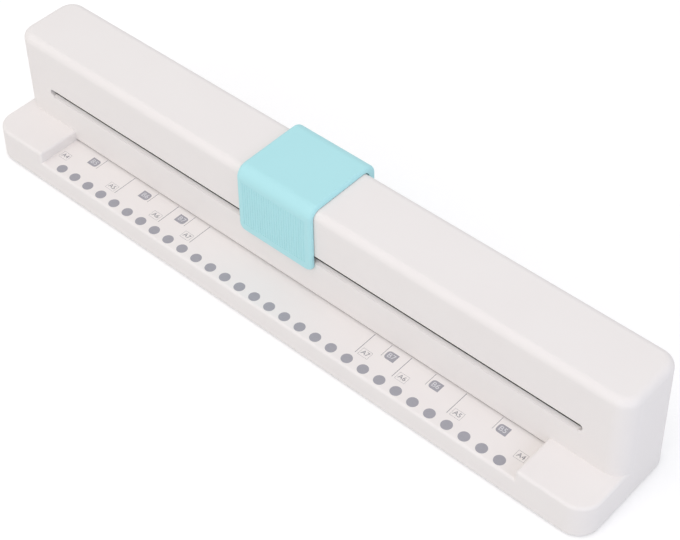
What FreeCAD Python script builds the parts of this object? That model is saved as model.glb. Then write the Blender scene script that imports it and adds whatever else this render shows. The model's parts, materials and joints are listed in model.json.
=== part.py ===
# Thirty-hole desk punch with a sliding grip that pushes a row of punch pins down one after another.
# X runs along the body, Y from the paper side to the back, Z up. The origin is under the middle, on the desk.
import FreeCAD, Part
import Sketcher
import os
import re

os.makedirs("parts", exist_ok=True)
doc = FreeCAD.newDocument("ThirtyHolePunch")

# Driving sizes, in millimetres and degrees
SIZES = {
    "pin_count": 30, "pin_spacing": 9.5, "pin_diameter": 5.5, "pin_stroke": 4, "pin_above": 1.2,
    "pin_dome": 1.5, "pin_hollow": 0.8, "tip_recess": 0.3, "collar_diameter": 8, "collar_thickness": 1.5,
    "spring_length": 9, "spring_diameter": 8, "spring_bore": 6.2, "hole_play": 0.05, "stop_gap": 0.3,
    "recess_margin": 8, "block_length": 36.6, "block_height": 6, "base_height": 12, "ledge_depth": 23.8,
    "row_depth": 17.9, "end_draft": 1.4, "wall_draft": 0.5, "shell_wall": 2.2, "floor_thickness": 2.2,
    "ceiling_thickness": 2.5, "end_wall": 3.8, "tall_corner": 8.6, "hollow_corner": 3.5,
    "ledge_corner": 10.8, "top_round": 4, "ledge_round": 1.5, "foot_round": 0.8,
    "paper_gap": 1, "slit_past": 15, "slit_height": 3.6, "slit_above": 7.8, "lip_drop": 1.1, "lip_depth": 2,
    "grip_length": 45.6, "grip_wall": 2.2, "grip_back": 4.4, "grip_roof_wall": 1.9, "grip_gap": 0.3,
    "grip_back_gap": 0.3, "grip_draft": 1.1, "grip_below_slit": 7.6, "grip_corner": 4,
    "grip_round": 1.8, "grip_rest": -6.7, "grip_socket": 1.2, "ridge_spacing": 1.5, "ridge_count": 26,
    "ridge_width": 0.75, "ridge_depth": 0.12, "ridge_margin": 5,
    "seat_gap": 0.25, "die_thickness": 2.5, "hole_to_stop": 6.5, "channel_thickness": 2,
    "channel_past": 23, "channel_back": 10, "flange_front": 7, "plate_screw_past": 15,
    "plate_screw_front": 6, "plate_screw_back": 4,
    "rail_thickness": 2, "rail_leg": 9, "rail_leg_thickness": 1.5, "rail_seat": 2, "rail_end_gap": 0.5,
    "rib_thickness": 2, "rib_count": 7, "rib_spacing": 50,
    "bracket_thickness": 1.5, "bracket_width": 11.4, "bracket_foot": 7.2, "bracket_screws_apart": 6.8,
    "sheet_thickness": 1, "side_margin": 0.5, "side_head": 1.5, "tongue_length": 29.4, "tongue_gap": 0.3,
    "side_play": 0.5, "roller_diameter": 20, "roller_width": 8.4, "roller_play": 0.4, "roller_bore": 4,
    "press_gap": 0.3, "wheel_diameter": 10, "wheel_bore": 3, "wheel_rise": 8.4, "wheel_clear": 0.65,
    "wheel_gap": 0.3, "axle_head": 6, "axle_head_thickness": 0.8, "bearing_play": 0.05,
    "tread_chamfer": 0.6, "spacer_diameter": 5, "rivet_diameter": 2.5, "spacer_clear": 2.5,
    "spacer_below": 3.3, "buffer_gap": 0.3, "buffer_width": 13, "buffer_height": 11,
    "plate_thickness": 2.5, "plate_gap": 0.2, "foot_stand": 1, "foot_seat": 1, "foot_diameter": 12,
    "foot_from_end": 20, "foot_inset": 9,
    "screw_diameter": 3, "screw_hole": 3.2, "head_diameter": 5.5, "head_thickness": 1.5,
    "head_play": 0.35, "frame_head_thickness": 2, "boss_diameter": 6, "boss_from_end": 65,
    "boss_inset": 6.5, "boss_clear": 1.6, "boss_sunk": 0.2, "rear_boss_height": 12,
    "door_past": 0.6, "door_thickness": 1.8, "door_gap": 0.3, "door_front": 7.7, "door_hinge": 6,
    "barrel_diameter": 3.2, "hinge_pin_diameter": 1.6, "hinge_pin_hold": 5.5, "hinge_pin_grip": 5.5,
    "chip_wall": 1.2, "chip_wall_gap": 0.3, "chip_end_gap": 1.6,
}

# Places and lengths that follow from the driving sizes
PLACES = {
    "first_pin": "-(pin_count - 1) * pin_spacing / 2",
    "recess_half": "(pin_count - 1) * pin_spacing / 2 + pin_diameter / 2 + recess_margin",
    "half_length": "recess_half + block_length",
    "inner_half": "half_length - end_wall",
    "plates_half": "inner_half - rail_end_gap",
    "channel_half": "recess_half + channel_past",
    "slit_half": "recess_half + slit_past",
    "travel": "slit_half - tongue_length / 2 - tongue_gap",
    "corner_cut": "(2 - sqrt(2)) * (ledge_corner - shell_wall)",

    "tall_depth": "row_depth + channel_back + boss_clear + boss_diameter - boss_sunk + shell_wall",
    "front": "-(ledge_depth + tall_depth + grip_back_gap + grip_back) / 2",
    "tall_front": "front + ledge_depth",
    "tall_inside": "tall_front + shell_wall",
    "pin_row": "tall_front + row_depth",
    "rear": "tall_front + tall_depth",
    "rear_inside": "rear - shell_wall",
    "plates_front": "tall_inside + seat_gap",
    "plates_back": "pin_row + channel_back",
    "boss_front": "front + shell_wall + boss_inset",
    "boss_rear": "rear_inside + boss_sunk - boss_diameter / 2",
    "boss_place": "half_length - boss_from_end",
    "foot_place": "half_length - foot_from_end",

    "plate_top": "foot_stand + plate_thickness",
    "floor_level": "foot_stand + base_height",
    "block_top": "floor_level + block_height",
    "die_under": "floor_level - die_thickness",
    "chip_wall_top": "die_under - chip_wall_gap",
    "channel_under": "floor_level + paper_gap",
    "pin_tip": "channel_under + tip_recess",
    "spring_seat": "channel_under + channel_thickness",
    "collar_under": "spring_seat + spring_length",
    "collar_top": "collar_under + collar_thickness",
    "flange_under": "collar_top + stop_gap",
    "flange_top": "flange_under + channel_thickness",
    "pin_top": "flange_top + pin_stroke + pin_above",
    "slit_middle": "flange_top + slit_above",
    "roller_axle": "pin_top + press_gap + roller_diameter / 2",
    "spacer_level": "roller_axle - spacer_below",
    "wheel_axle": "roller_axle + wheel_rise",
    "rail_under": "wheel_axle + wheel_diameter / 2 + wheel_gap",
    "side_top": "rail_under - side_head",
    "rail_top": "rail_under + rail_thickness",
    "rail_low": "rail_top - rail_leg",
    "ceiling": "rail_top + rail_seat",
    "top_level": "ceiling + ceiling_thickness",

    "side_inner": "roller_width / 2 + roller_play",
    "side_outer": "side_inner + sheet_thickness",
    "rail_inner": "side_outer + side_play",
    "rail_outer": "rail_inner + rail_leg_thickness",
    "wheel_place": "sqrt(((roller_diameter + wheel_diameter) / 2 + wheel_clear)^2 - wheel_rise^2)",
    "side_length": "2 * (wheel_place + wheel_diameter / 2 + side_margin)",
    "spacer_place": "(roller_diameter + spacer_diameter) / 2 + spacer_clear",
    "bracket_place": "plates_half - bracket_foot",
    "bracket_fold": "bracket_place + bracket_thickness",
    "bracket_screw": "(bracket_fold + plates_half) / 2",
    "plate_screw": "recess_half + plate_screw_past",

    "grip_low": "slit_middle - grip_below_slit",
    "grip_front_in": "tall_front - grip_gap",
    "grip_front": "grip_front_in - grip_wall",
    "grip_rear_in": "rear + grip_back_gap",
    "grip_rear": "grip_rear_in + grip_back",
    "grip_roof": "top_level + grip_gap",
    "grip_top": "grip_roof + grip_roof_wall",
    "grip_bend": "top_round + grip_gap + grip_roof_wall",
    "front_lean": "base_height * tan(end_draft)",
    "wall_lean": "(top_level - block_top) * tan(wall_draft)",
    "grip_lean": "(grip_top - grip_low) * tan(grip_draft)",
    "tongue_grip": "grip_socket - hole_play",
    "ridge_low": "grip_low + ridge_margin",
    "ridge_high": "grip_top - grip_bend - ridge_margin / 4",
    "ridge_foot": "grip_front + ridge_margin * tan(grip_draft)",
    "ridge_head": "grip_front + (ridge_high - grip_low) * tan(grip_draft)",

    "door_half": "recess_half + door_past",
    "opening_half": "door_half + door_gap",
    "hinge_line": "pin_row + door_hinge",
    "hinge_level": "foot_stand + barrel_diameter / 2",
    "opening_front": "pin_row - door_front - door_gap",
    "opening_back": "hinge_line + barrel_diameter / 2 + door_gap",
    "chip_end": "opening_half + hinge_pin_grip + chip_end_gap",
}

SHEET = doc.addObject("Spreadsheet::Sheet", "Sizes")
for number, (alias, value) in enumerate(SIZES.items(), start=1):
    SHEET.set("A%d" % number, alias)
    SHEET.set("B%d" % number, str(value))
    SHEET.setAlias("B%d" % number, alias)
doc.recompute()


# Expressions

def spell(text):
    """The full expression for a text that uses the names of sizes and places."""
    def swap(match):
        word = match.group(0)
        if word in PLACES:
            return "(" + spell(PLACES[word]) + ")"
        return "Sizes." + word if word in SIZES else word
    return re.sub(r"[a-z][a-z_]*", swap, str(text))


def size(text):
    """The present value of an expression."""
    return float(SHEET.evalExpression(spell(text)))


def bind(item, name, text):
    item.setExpression(name, spell(text))


def place(item, x="0", y="0", z="0"):
    """Bind where an object stands."""
    bind(item, "Placement.Base.x", x)
    bind(item, "Placement.Base.y", y)
    bind(item, "Placement.Base.z", z)


# Sketches

def new_body(label):
    body = doc.addObject("PartDesign::Body", label)
    body.Label = label
    return body


def origin_item(body, role):
    return [item for item in body.Origin.OriginFeatures if item.Role == role][0]


def new_sketch(body, plane, level="0"):
    """A sketch on an origin plane, moved to a level along +X, +Y or +Z."""
    sketch = body.newObject("Sketcher::SketchObject", "Sketch")
    sketch.AttachmentSupport = [(origin_item(body, plane), "")]
    sketch.MapMode = "FlatFace"
    bind(sketch, "AttachmentOffset.Base.z", "-(%s)" % level if plane == "XZ_Plane" else level)
    return sketch


def fix_point(sketch, geometry, vertex, u, v):
    """Hold a point of the sketch at two bound distances from its origin."""
    for kind, text in (("DistanceX", u), ("DistanceY", v)):
        index = sketch.addConstraint(Sketcher.Constraint(kind, -1, 1, geometry, vertex, size(text)))
        bind(sketch, "Constraints[%d]" % index, text)


def polygon(sketch, points):
    """A closed outline of straight lines; each point is a pair of expressions."""
    corners = [FreeCAD.Vector(size(u), size(v), 0) for u, v in points]
    first = sketch.GeometryCount
    count = len(points)
    for i in range(count):
        sketch.addGeometry(Part.LineSegment(corners[i], corners[(i + 1) % count]), False)
    for i in range(count):
        following = first + (i + 1) % count
        sketch.addConstraint(Sketcher.Constraint("Coincident", first + i, 2, following, 1))
    for i, (u, v) in enumerate(points):
        fix_point(sketch, first + i, 1, u, v)


def rectangle(sketch, u_low, v_low, u_high, v_high):
    polygon(sketch, [(u_low, v_low), (u_high, v_low), (u_high, v_high), (u_low, v_high)])


def circle(sketch, u, v, diameter):
    centre = FreeCAD.Vector(size(u), size(v), 0)
    index = sketch.addGeometry(Part.Circle(centre, FreeCAD.Vector(0, 0, 1), size(diameter) / 2), False)
    fix_point(sketch, index, 3, u, v)
    rule = sketch.addConstraint(Sketcher.Constraint("Diameter", index, size(diameter)))
    bind(sketch, "Constraints[%d]" % rule, diameter)


# Features

def extrude(body, kind, sketch, length, symmetric=False, reverse=False):
    feature = body.newObject("PartDesign::" + kind, kind)
    feature.Profile = sketch
    feature.SideType = "Symmetric" if symmetric else "One side"
    feature.Reversed = reverse
    bind(feature, "Length", length)
    sketch.Visibility = False
    return feature


def pad(body, sketch, length, symmetric=False, reverse=False):
    return extrude(body, "Pad", sketch, length, symmetric, reverse)


def cut(body, sketch, length, symmetric=False, reverse=True):
    """A pocket that runs along the sketch's normal, and is checked to remove material."""
    doc.recompute()
    before = body.Shape.Volume
    feature = extrude(body, "Pocket", sketch, length, symmetric, reverse)
    doc.recompute()
    if not body.Shape.Volume < before - 1e-3:
        raise RuntimeError("a pocket of %s removes nothing" % body.Label)
    return feature


def revolve(body, plane, axis, points):
    """A turned solid: points are pairs of expressions in the plane, axis is one of its two lines."""
    sketch = new_sketch(body, plane)
    polygon(sketch, points)
    feature = body.newObject("PartDesign::Revolution", "Turned")
    feature.Profile = sketch
    feature.ReferenceAxis = (sketch, [axis])
    feature.Angle = 360
    return feature


def repeat(body, feature, count, pitch):
    """Copies of a feature along +X."""
    pattern = body.newObject("PartDesign::LinearPattern", "Row")
    pattern.Originals = [feature]
    pattern.Direction = (origin_item(body, "X_Axis"), [""])
    pattern.Mode = "Spacing"
    bind(pattern, "Offset", pitch)
    bind(pattern, "Occurrences", count)
    body.Tip = pattern
    return pattern


def dress(body, kind, amount, wanted):
    """A fillet or chamfer on the body's edges that pass a test on their bounding box."""
    doc.recompute()
    base = body.Tip
    names = ["Edge%d" % (i + 1) for i, edge in enumerate(base.Shape.Edges) if wanted(edge.BoundBox)]
    if not names:
        raise RuntimeError("no edge to round on %s" % body.Label)
    feature = body.newObject("PartDesign::" + kind, kind)
    feature.Base = (base, names)
    bind(feature, "Size" if kind == "Chamfer" else "Radius", amount)
    return feature


def near(value, text):
    """Whether a measured value is the size that a text gives."""
    return abs(value - size(text)) < 0.01


def box(label, x, y, z, corner):
    """A plain block: three lengths and its lowest corner."""
    block = doc.addObject("Part::Box", label)
    block.Label = label
    for name, text in zip(("Length", "Width", "Height"), (x, y, z)):
        bind(block, name, text)
    place(block, *corner)
    return block


def rod(label, diameter, length, x, y, z, axis=(0, 0, 1)):
    """A round bar whose lower end is at a point, along an axis."""
    bar = doc.addObject("Part::Cylinder", label)
    turn = FreeCAD.Rotation(FreeCAD.Vector(0, 0, 1), FreeCAD.Vector(*axis))
    bar.Placement = FreeCAD.Placement(FreeCAD.Vector(), turn)
    bind(bar, "Radius", "(%s) / 2" % diameter)
    bind(bar, "Height", length)
    place(bar, x, y, z)
    return bar


def join(label, items):
    fused = doc.addObject("Part::MultiFuse", label)
    fused.Shapes = items
    return fused


def group(label, items):
    """Identical separate pieces in one sub-part."""
    pieces = doc.addObject("Part::Compound", label)
    pieces.Label = label
    pieces.Links = items
    return pieces


# Places that several sub-parts share

BOTTOM_SCREWS = [(x, y) for y in ("boss_front", "boss_rear") for x in ("-boss_place", "0", "boss_place")]
CHANNEL_SCREWS = [(x, y) for x in ("-plate_screw", "plate_screw")
                  for y in ("pin_row - plate_screw_front", "pin_row + plate_screw_back")]
BRACKET_SCREWS = [(x, y) for x in ("-bracket_screw", "bracket_screw")
                  for y in ("pin_row - bracket_screws_apart / 2", "pin_row + bracket_screws_apart / 2")]
RAIL_SCREWS = [("-bracket_screw", "pin_row"), ("bracket_screw", "pin_row")]
FEET = [(x, y) for x in ("-foot_place", "foot_place")
        for y in ("front + shell_wall + foot_inset", "rear_inside - foot_inset")]


def drill(body, places, diameter, level, depth):
    """Round holes from a level upwards."""
    sketch = new_sketch(body, "XY_Plane", level)
    for x, y in places:
        circle(sketch, x, y, diameter)
    return cut(body, sketch, depth)


def pin_holes(body, level, depth):
    """The row of holes that the punch pins run through."""
    first = drill(body, [("first_pin", "pin_row")], "pin_diameter + 2 * hole_play", level, depth)
    return repeat(body, first, "pin_count", "pin_spacing")


# The shell

def lean(body, wanted, level, angle):
    """Lean the faces that pass a test inwards. At the level they keep their place."""
    doc.recompute()
    base = body.Tip
    plane = body.newObject("PartDesign::Plane", "Level")
    plane.AttachmentSupport = [(origin_item(body, "XY_Plane"), "")]
    plane.MapMode = "FlatFace"
    bind(plane, "AttachmentOffset.Base.z", level)
    draft = body.newObject("PartDesign::Draft", "Draft")
    draft.Base = (base, ["Face%d" % (i + 1) for i, face in enumerate(base.Shape.Faces)
                         if wanted(face.CenterOfMass)])
    draft.NeutralPlane = (plane, [""])
    bind(draft, "Angle", angle)


def long_block(label, y_low, y_high, height):
    """A block over the body's whole length with tapered ends."""
    body = new_body(label)
    sketch = new_sketch(body, "XY_Plane", "foot_stand")
    rectangle(sketch, "-half_length", y_low, "half_length", y_high)
    pad(body, sketch, height)
    lean(body, lambda middle: near(abs(middle.x), "half_length"), "foot_stand", "end_draft")
    return body


def round_corners(body, y, radius):
    """Round the upright edges at a wall."""
    dress(body, "Fillet", radius, lambda bounds: bounds.ZLength > size("base_height") / 2
          and abs(bounds.Center.y - size(y)) < size("shell_wall"))


def shell_outside():
    """The low block with the ledge, and the tall block behind it, as one moulding."""
    body = long_block("body_shell", "front", "pin_row", "base_height + block_height")
    lean(body, lambda middle: near(middle.y, "front"), "foot_stand", "end_draft")
    round_corners(body, "front", "ledge_corner")
    dress(body, "Fillet", "ledge_round", lambda bounds: near(bounds.ZMin, "block_top"))
    tall = long_block("tall_block", "tall_front", "rear", "top_level - foot_stand")
    lean(tall, lambda middle: near(middle.y, "tall_front") or near(middle.y, "rear"),
         "block_top", "wall_draft")
    round_corners(tall, "tall_front", "tall_corner")
    round_corners(tall, "rear", "tall_corner")
    dress(tall, "Fillet", "top_round", lambda bounds: near(bounds.ZMin, "top_level"))
    doc.recompute()
    union = body.newObject("PartDesign::Boolean", "Union")
    union.Type = "Fuse"
    union.Group = [tall]
    body.Tip = union
    dress(body, "Fillet", "foot_round", lambda bounds: near(bounds.ZMax, "foot_stand"))
    return body


def cut_recess(body):
    """The paper recess between the two end blocks, with rounded edges."""
    sketch = new_sketch(body, "XY_Plane", "floor_level")
    rectangle(sketch, "-recess_half", "front - ledge_corner", "recess_half", "tall_front")
    cut(body, sketch, "2 * block_height")

    def soft(bounds):
        side = near(abs(bounds.XMin), "recess_half") and near(bounds.XLength, "0")
        low = near(bounds.ZMax, "floor_level")
        lip = low and near(bounds.YMax, "front + front_lean") and bounds.XLength > size("recess_half")
        at_foot = low and bounds.YLength > size("ledge_depth") / 2
        before_wall = bounds.YMax < size("tall_front") or near(bounds.YMax, "tall_front")
        return lip or (side and before_wall and not at_foot and bounds.YLength > size("ledge_round") / 2)
    return dress(body, "Fillet", "ledge_round", soft)


def inside_outline(sketch, gap):
    """The plan of the hollow inside the walls, less a gap, with its corners cut off."""
    side = "(inner_half - %s)" % gap
    low = "(front + shell_wall + %s)" % gap
    high = "(rear_inside - %s)" % gap
    level = low + " + corner_cut"
    polygon(sketch, [("-" + side, high + " - hollow_corner"), ("-" + side, level),
                     ("-%s + corner_cut" % side, low), (side + " - corner_cut", low), (side, level),
                     (side, high + " - hollow_corner"), (side + " - hollow_corner", high),
                     ("-%s + hollow_corner" % side, high)])


def tall_outline(sketch, front_corners):
    """The plan of the tall hollow. Its rear corners are cut off, for the wall's round corners."""
    polygon(sketch, [("inner_half", "rear_inside - hollow_corner"),
                     ("inner_half - hollow_corner", "rear_inside"),
                     ("-inner_half + hollow_corner", "rear_inside"),
                     ("-inner_half", "rear_inside - hollow_corner")] + front_corners)


def hollow_out(body):
    """The hollow under the ledge and blocks, and the tall hollow for the mechanism."""
    low = new_sketch(body, "XY_Plane", "foot_stand")
    inside_outline(low, "0")
    cut(body, low, "base_height - floor_thickness")
    foot = new_sketch(body, "XY_Plane", "foot_stand")
    tall_outline(foot, [("-inner_half", "tall_inside"), ("inner_half", "tall_inside")])
    cut(body, foot, "base_height")
    tall = new_sketch(body, "XY_Plane", "floor_level")
    tall_outline(tall, [("-inner_half", "tall_inside + hollow_corner"),
                        ("-inner_half + hollow_corner", "tall_inside"),
                        ("inner_half - hollow_corner", "tall_inside"),
                        ("inner_half", "tall_inside + hollow_corner")])
    cut(body, tall, "ceiling - floor_level")
    blocks = new_sketch(body, "XY_Plane", "floor_level - floor_thickness")
    low_y = "front + ledge_corner"
    rectangle(blocks, "-inner_half", low_y, "-recess_half - shell_wall", "tall_front - shell_wall")
    rectangle(blocks, "recess_half + shell_wall", low_y, "inner_half", "tall_front - shell_wall")
    cut(body, blocks, "block_height")


def cut_slits(body):
    """The slits of the grip's tongues in both walls, the front one's sloping lip, and the paper slot."""
    for wall_y in ("tall_front - shell_wall", "rear_inside - shell_wall"):
        sketch = new_sketch(body, "XZ_Plane", wall_y)
        rectangle(sketch, "-slit_half", "slit_middle - slit_height / 2",
                  "slit_half", "slit_middle + slit_height / 2")
        cut(body, sketch, "3 * shell_wall", reverse=False)
    dress(body, "Fillet", "slit_height / 2.1", lambda bounds: near(abs(bounds.XMin), "slit_half")
          and near(bounds.XLength, "0") and near(bounds.ZLength, "0"))
    lip = new_sketch(body, "YZ_Plane")
    lip_level = "slit_middle - slit_height / 2"
    polygon(lip, [("tall_front - lip_depth", lip_level), ("tall_front - lip_depth", lip_level + " - 2 * lip_drop"),
                  ("tall_front + lip_depth", lip_level)])
    cut(body, lip, "2 * slit_half - slit_height", symmetric=True)
    slot = new_sketch(body, "XZ_Plane", "tall_front - shell_wall")
    rectangle(slot, "-recess_half", "floor_level", "recess_half", "channel_under")
    cut(body, slot, "3 * shell_wall", reverse=False)


def add_bosses(body):
    """Bosses for the bottom screws and the rail screws, and ribs that the rail lies against."""
    for y, height in (("boss_front", "floor_level - plate_top - floor_thickness / 2"),
                      ("boss_rear", "rear_boss_height")):
        sketch = new_sketch(body, "XY_Plane", "plate_top")
        for x in ("-boss_place", "0", "boss_place"):
            circle(sketch, x, y, "boss_diameter")
        pad(body, sketch, height)
    depth = "base_height - plate_thickness - floor_thickness"
    drill(body, BOTTOM_SCREWS, "screw_diameter", "plate_top", depth)
    sketch = new_sketch(body, "XY_Plane", "rail_top")
    for x, y in RAIL_SCREWS:
        circle(sketch, x, y, "boss_diameter")
    pad(body, sketch, "rail_seat + ceiling_thickness / 2")
    drill(body, RAIL_SCREWS, "screw_diameter", "rail_top", "rail_seat + ceiling_thickness / 2")
    rib = new_sketch(body, "XY_Plane", "rail_top")
    start = "-(rib_count - 1) * rib_spacing / 2"
    rectangle(rib, start + " - rib_thickness / 2", "pin_row - rail_outer",
              start + " + rib_thickness / 2", "pin_row + rail_outer")
    repeat(body, pad(body, rib, "rail_seat + ceiling_thickness / 2"), "rib_count", "rib_spacing")


def body_shell():
    body = shell_outside()
    cut_recess(body)
    hollow_out(body)
    cut_slits(body)
    add_bosses(body)
    return body


# The underside

def bottom_plate():
    body = new_body("bottom_plate")
    outline = new_sketch(body, "XY_Plane", "foot_stand")
    inside_outline(outline, "plate_gap")
    pad(body, outline, "plate_thickness")
    ring = new_sketch(body, "XY_Plane", "plate_top")
    rectangle(ring, "-chip_end - chip_wall", "opening_front - chip_wall",
              "chip_end + chip_wall", "opening_back + chip_wall")
    rectangle(ring, "-chip_end", "opening_front", "chip_end", "opening_back")
    pad(body, ring, "chip_wall_top - plate_top")
    opening = new_sketch(body, "XY_Plane", "foot_stand")
    rectangle(opening, "-opening_half", "opening_front", "opening_half", "opening_back")
    cut(body, opening, "plate_thickness")
    ears = new_sketch(body, "XZ_Plane", "opening_back")
    for side in ("-", ""):
        rectangle(ears, side + "opening_half", "foot_stand", side + "(opening_half + hinge_pin_grip)",
                  "foot_stand + 2 * plate_thickness")
    pad(body, ears, "barrel_diameter + 2 * door_gap")
    pins = new_sketch(body, "YZ_Plane")
    circle(pins, "hinge_line", "hinge_level", "hinge_pin_diameter")
    cut(body, pins, "2 * (opening_half + hinge_pin_grip)", symmetric=True)
    drill(body, FEET, "foot_diameter", "foot_stand", "foot_seat")
    drill(body, BOTTOM_SCREWS, "screw_hole", "foot_stand", "plate_thickness")
    drill(body, BOTTOM_SCREWS, "head_diameter + 2 * head_play", "foot_stand", "head_thickness")
    return body


def rubber_feet():
    height = "foot_stand + foot_seat"
    return group("rubber_feet", [rod("foot", "foot_diameter", height, x, y, "0") for x, y in FEET])


def screws(label, places, head_level, head_thickness, length):
    """Round-headed screws that point up: the head's underside level, and the shank's length."""
    made = []
    for x, y in places:
        head = rod("head", "head_diameter", head_thickness, x, y, head_level)
        shank = rod("shank", "screw_diameter", length, x, y, "%s + %s" % (head_level, head_thickness))
        made.append(join("screw", [head, shank]))
    return made


def bottom_screws():
    shank = "plate_thickness - head_thickness + base_height - plate_thickness - floor_thickness - stop_gap"
    return group("bottom_screws", screws("bottom", BOTTOM_SCREWS, "foot_stand", "head_thickness", shank))


def chip_door():
    body = new_body("chip_door")
    leaf = new_sketch(body, "YZ_Plane")
    rectangle(leaf, "pin_row - door_front", "foot_stand", "hinge_line", "foot_stand + door_thickness")
    pad(body, leaf, "2 * door_half", symmetric=True)
    barrel = new_sketch(body, "YZ_Plane")
    circle(barrel, "hinge_line", "hinge_level", "barrel_diameter")
    pad(body, barrel, "2 * door_half", symmetric=True)
    for side in ("-", ""):
        bore = new_sketch(body, "YZ_Plane", side + "(door_half)")
        circle(bore, "hinge_line", "hinge_level", "hinge_pin_diameter + 2 * bearing_play")
        cut(body, bore, "hinge_pin_hold + door_gap", reverse=side == "-")
    return body


def door_hinge_pins():
    ends = ["-opening_half - hinge_pin_grip", "door_half - hinge_pin_hold + door_gap"]
    length = "hinge_pin_hold + hinge_pin_grip"
    pins = [rod("hinge_pin", "hinge_pin_diameter", length, x, "hinge_line", "hinge_level", (1, 0, 0))
            for x in ends]
    return group("door_hinge_pins", pins)


# The punching frame

def die_plate():
    body = new_body("die_plate")
    outline = new_sketch(body, "XY_Plane", "die_under")
    rectangle(outline, "-plates_half", "plates_front", "plates_half", "plates_back")
    pad(body, outline, "die_thickness")
    drill(body, CHANNEL_SCREWS + BRACKET_SCREWS, "screw_hole", "die_under", "die_thickness")
    pin_holes(body, "die_under", "die_thickness")
    return body


def paper_stop():
    body = new_body("paper_stop")
    outline = new_sketch(body, "XY_Plane", "floor_level")
    end, leg = "channel_half", "recess_half"
    polygon(outline, [("-(%s)" % end, "plates_front"), ("-(%s)" % leg, "plates_front"),
                      ("-(%s)" % leg, "pin_row + hole_to_stop"), (leg, "pin_row + hole_to_stop"),
                      (leg, "plates_front"), (end, "plates_front"),
                      (end, "plates_back"), ("-(%s)" % end, "plates_back")])
    pad(body, outline, "paper_gap")
    drill(body, CHANNEL_SCREWS, "screw_hole", "floor_level", "paper_gap")
    return body


def guide_channel():
    body = new_body("guide_channel")
    outline = new_sketch(body, "YZ_Plane")
    web = "plates_back - channel_thickness"
    polygon(outline, [("plates_front", "channel_under"), ("plates_back", "channel_under"),
                      ("plates_back", "flange_top"), ("pin_row - flange_front", "flange_top"),
                      ("pin_row - flange_front", "flange_under"), (web, "flange_under"),
                      (web, "spring_seat"), ("plates_front", "spring_seat")])
    pad(body, outline, "2 * channel_half", symmetric=True)
    drill(body, CHANNEL_SCREWS, "screw_diameter", "channel_under", "channel_thickness")
    pin_holes(body, "channel_under", "flange_top - channel_under")
    return body


def punch_pins():
    """Each pin with a collar, a round head and a hollow cutting tip."""
    pins = []
    bar, rim = "pin_diameter / 2", "collar_diameter / 2"
    for number in range(int(size("pin_count"))):
        body = new_body("punch_pin_%02d" % (number + 1))
        revolve(body, "XZ_Plane", "V_Axis",
                [("0", "pin_tip + pin_hollow"), (bar, "pin_tip"), (bar, "collar_under"),
                 (rim, "collar_under"), (rim, "collar_top"), (bar, "collar_top"), (bar, "pin_top"),
                 ("0", "pin_top")])
        dress(body, "Fillet", "pin_dome", lambda bounds: near(bounds.ZMin, "pin_top"))
        place(body, "first_pin + %d * pin_spacing" % number, "pin_row")
        pins.append(body)
    return pins


def return_springs():
    """Thirty springs, each drawn as the sleeve that its coil fills."""
    body = new_body("return_springs")
    ring = new_sketch(body, "XY_Plane", "spring_seat")
    circle(ring, "first_pin", "pin_row", "spring_diameter")
    circle(ring, "first_pin", "pin_row", "spring_bore")
    repeat(body, pad(body, ring, "spring_length"), "pin_count", "pin_spacing")
    return body


def upper_rail():
    body = new_body("upper_rail")
    outline = new_sketch(body, "YZ_Plane")
    polygon(outline, [("pin_row - rail_outer", "rail_low"), ("pin_row - rail_inner", "rail_low"),
                      ("pin_row - rail_inner", "rail_under"), ("pin_row + rail_inner", "rail_under"),
                      ("pin_row + rail_inner", "rail_low"), ("pin_row + rail_outer", "rail_low"),
                      ("pin_row + rail_outer", "rail_top"), ("pin_row - rail_outer", "rail_top")])
    pad(body, outline, "2 * plates_half", symmetric=True)
    drill(body, RAIL_SCREWS, "screw_hole", "rail_under", "rail_thickness")
    return body


def end_bracket(label, side):
    """A folded strip that ties the rail above to the die plate below."""
    body = new_body(label)
    outline = new_sketch(body, "XZ_Plane", "pin_row")
    inner, outer, fold = (side + "(%s)" % text for text in
                          ("bracket_place", "plates_half", "bracket_fold"))
    polygon(outline, [(inner, "floor_level"), (outer, "floor_level"),
                      (outer, "floor_level + bracket_thickness"), (fold, "floor_level + bracket_thickness"),
                      (fold, "rail_under - bracket_thickness"), (outer, "rail_under - bracket_thickness"),
                      (outer, "rail_under"), (inner, "rail_under")])
    pad(body, outline, "bracket_width", symmetric=True)
    here = [spot for spot in BRACKET_SCREWS if spot[0].startswith("-") == (side == "-")]
    drill(body, here, "screw_diameter", "floor_level", "bracket_thickness")
    top = [spot for spot in RAIL_SCREWS if spot[0].startswith("-") == (side == "-")]
    drill(body, top, "screw_hole", "rail_under - bracket_thickness", "bracket_thickness")
    return body


def buffer(label, side):
    """A rubber stop on the bracket, which the carriage meets at the end of its travel."""
    face = "(travel + side_length / 2 + buffer_gap)"
    start = face if side == "" else "-bracket_place"
    return box(label, "bracket_place - " + face, "buffer_width", "buffer_height",
               (start, "pin_row - buffer_width / 2", "rail_low - stop_gap - buffer_height"))


def frame_screws():
    long_ones = screws("channel", CHANNEL_SCREWS, "die_under - frame_head_thickness", "frame_head_thickness",
                       "die_thickness + paper_gap + channel_thickness")
    short_ones = screws("bracket", BRACKET_SCREWS, "die_under - frame_head_thickness", "frame_head_thickness",
                        "die_thickness + bracket_thickness")
    return group("frame_screws", long_ones + short_ones)


def rail_screws():
    level = "rail_under - bracket_thickness - frame_head_thickness"
    shank = "bracket_thickness + rail_thickness + rail_seat + ceiling_thickness / 2 - stop_gap"
    return group("rail_screws", screws("rail", RAIL_SCREWS, level, "frame_head_thickness", shank))


# The grip and its carriage, drawn with the carriage's middle at X = 0 and moved to the resting place

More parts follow.
